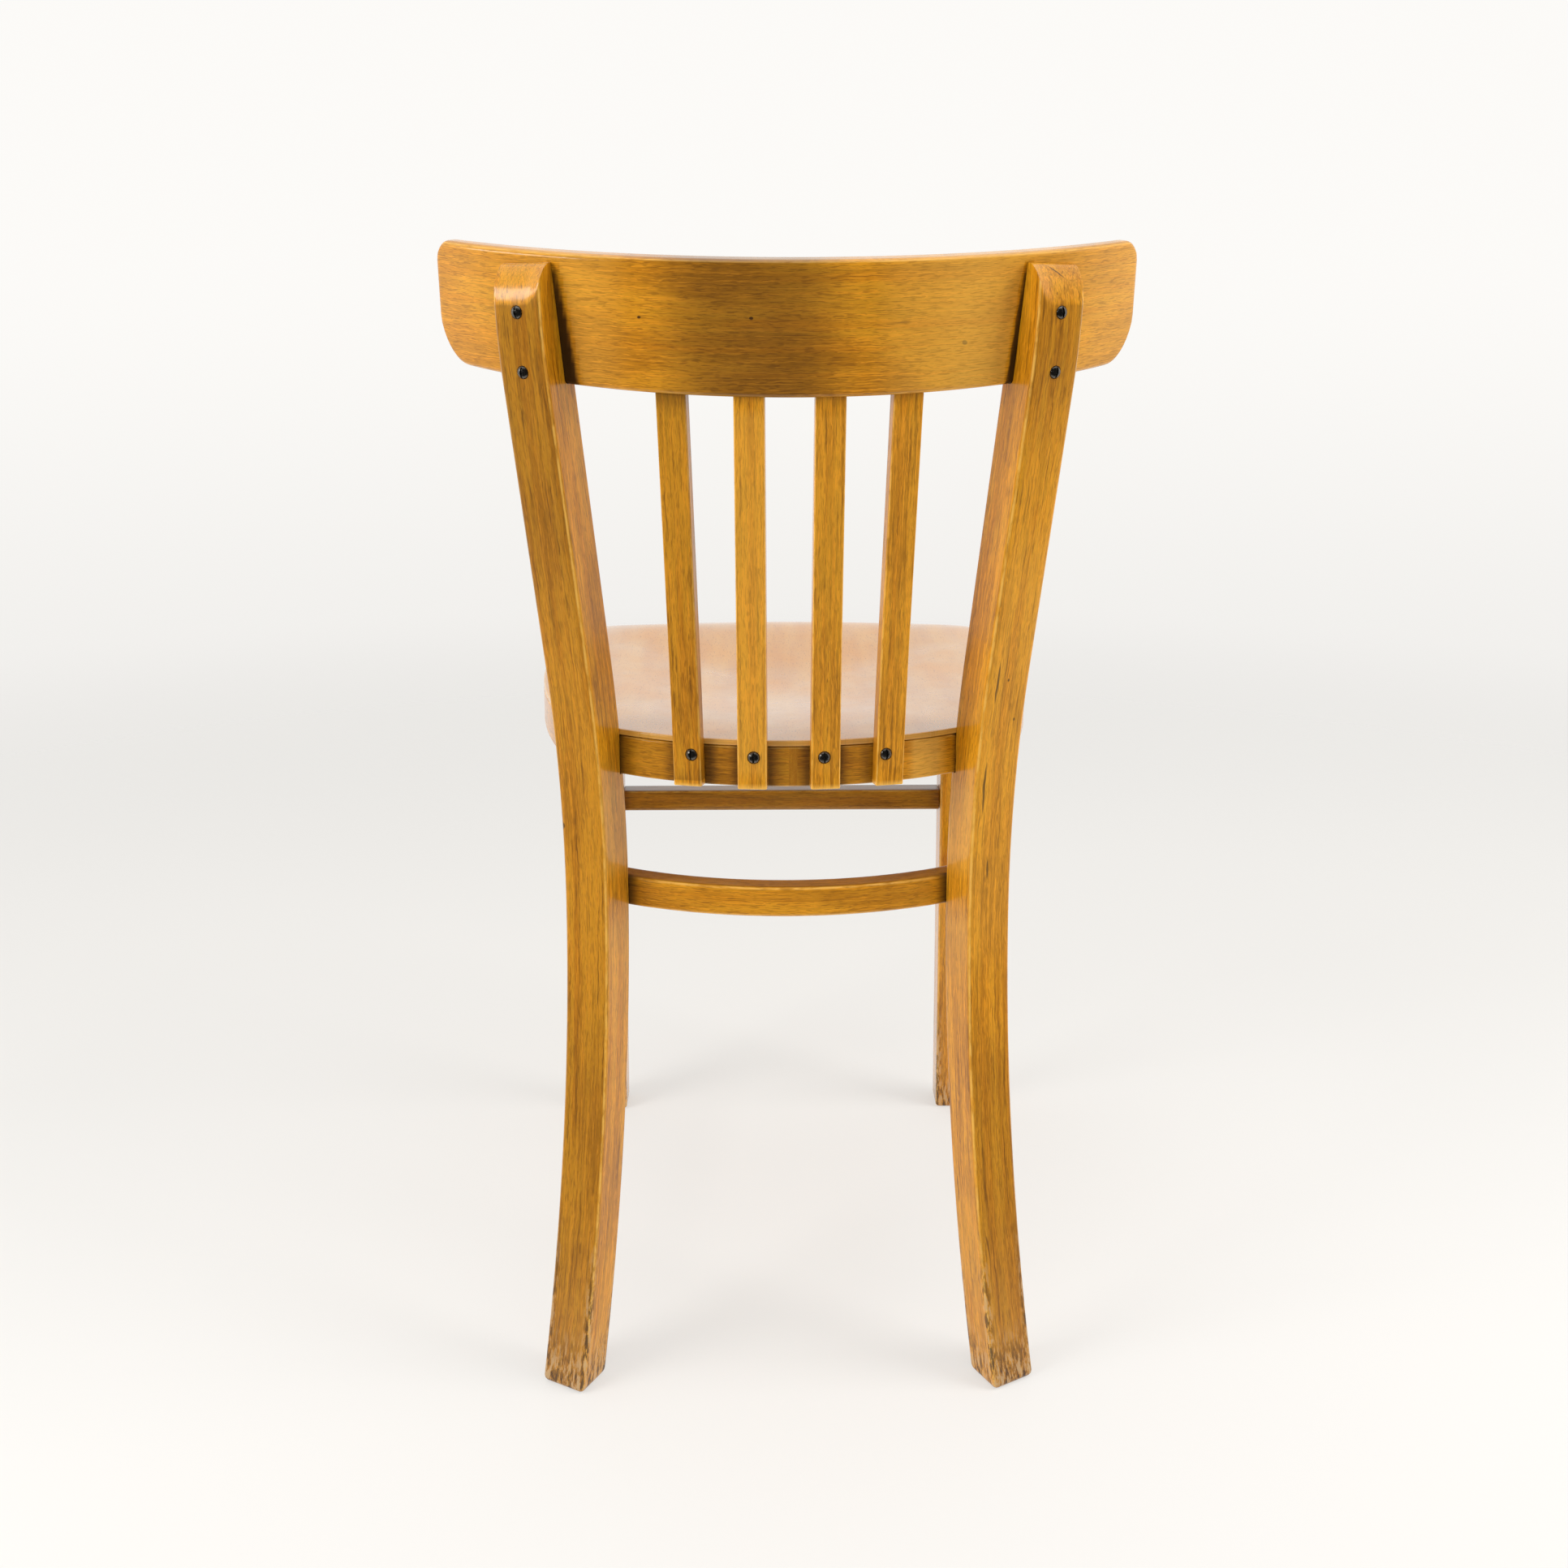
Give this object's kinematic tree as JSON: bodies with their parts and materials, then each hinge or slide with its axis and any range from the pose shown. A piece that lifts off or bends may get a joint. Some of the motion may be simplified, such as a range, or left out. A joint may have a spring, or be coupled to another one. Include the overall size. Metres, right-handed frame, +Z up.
{
  "type": "bistro chair",
  "caption": "Wooden dining chair with splayed bent back posts, a curved top rail, upright slats, a dished plywood seat and bowed stretcher.",
  "frame": {"origin": "on the floor, under the middle of the chair's bounding box", "axes": "+Z up, +Y towards the back rest, -Y the way the sitter faces, +X to the sitter's left"},
  "size_m": [0.4588, 0.4773, 0.7889],
  "materials": {
    "beech": "amber-stained beech, semi-gloss clear varnish, worn at the feet",
    "seat_ply": "moulded plywood, amber stain, semi-gloss clear varnish",
    "black_screws": "black slotted round-head steel screws"
  },
  "bodies": {
    "root": {"rear_post_left": "beech", "rear_post_right": "beech", "top_rail": "beech", "back_slat_1": "beech", "back_slat_2": "beech", "back_slat_3": "beech", "back_slat_4": "beech", "seat_ring": "beech", "rear_stretcher": "beech", "front_stretcher": "beech", "side_stretcher_left": "beech", "side_stretcher_right": "beech", "front_leg_left": "beech", "front_leg_right": "beech", "seat_panel": "seat_ply", "rail_screw_left_upper": "black_screws", "rail_screw_left_lower": "black_screws", "rail_screw_right_upper": "black_screws", "rail_screw_right_lower": "black_screws", "slat_screw_1": "black_screws", "slat_screw_2": "black_screws", "slat_screw_3": "black_screws", "slat_screw_4": "black_screws", "ring_screw_left_upper": "black_screws", "ring_screw_left_lower": "black_screws", "ring_screw_right_upper": "black_screws", "ring_screw_right_lower": "black_screws", "leg_screw_left_side": "black_screws", "leg_screw_left_front": "black_screws", "leg_screw_right_side": "black_screws", "leg_screw_right_front": "black_screws", "stretcher_screw_left": "black_screws", "stretcher_screw_right": "black_screws"}
  },
  "joints": []
}
